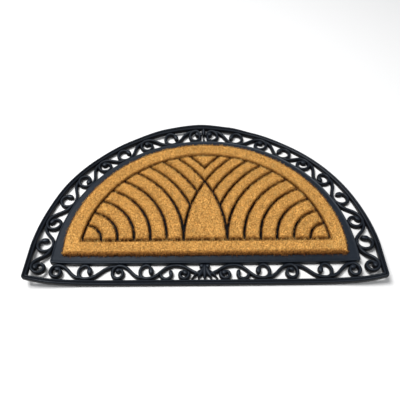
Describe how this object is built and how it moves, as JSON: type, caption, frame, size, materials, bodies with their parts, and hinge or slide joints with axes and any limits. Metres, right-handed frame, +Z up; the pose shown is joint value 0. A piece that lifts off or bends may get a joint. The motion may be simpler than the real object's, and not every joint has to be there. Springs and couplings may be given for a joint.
{
  "type": "coir doormat",
  "caption": "Half-round doormat: coir pile fields with grooves between them in a moulded rubber tray with an openwork scroll border and curled front corners.",
  "frame": {"origin": "middle of the bounding box in plan, on the underside that rests on the floor", "axes": "+X along the straight front edge, +Y from the straight front to the arched back, +Z up out of the pile"},
  "size_m": [0.7492, 0.4622, 0.0335],
  "materials": {
    "rubber": "matt moulded, faint sheen on the ridges",
    "coir": "short upright coconut fibre, golden tan"
  },
  "bodies": {
    "root": {"rubber_tray": "rubber", "coir_border": "coir", "coir_left_1": "coir", "coir_left_2": "coir", "coir_left_3": "coir", "coir_left_4": "coir", "coir_left_5": "coir", "coir_left_6": "coir", "coir_left_7": "coir", "coir_left_8": "coir", "coir_left_9": "coir", "coir_right_1": "coir", "coir_right_2": "coir", "coir_right_3": "coir", "coir_right_4": "coir", "coir_right_5": "coir", "coir_right_6": "coir", "coir_right_7": "coir", "coir_right_8": "coir", "coir_right_9": "coir", "coir_arch": "coir", "coir_chevron": "coir", "coir_crown": "coir"}
  },
  "joints": []
}
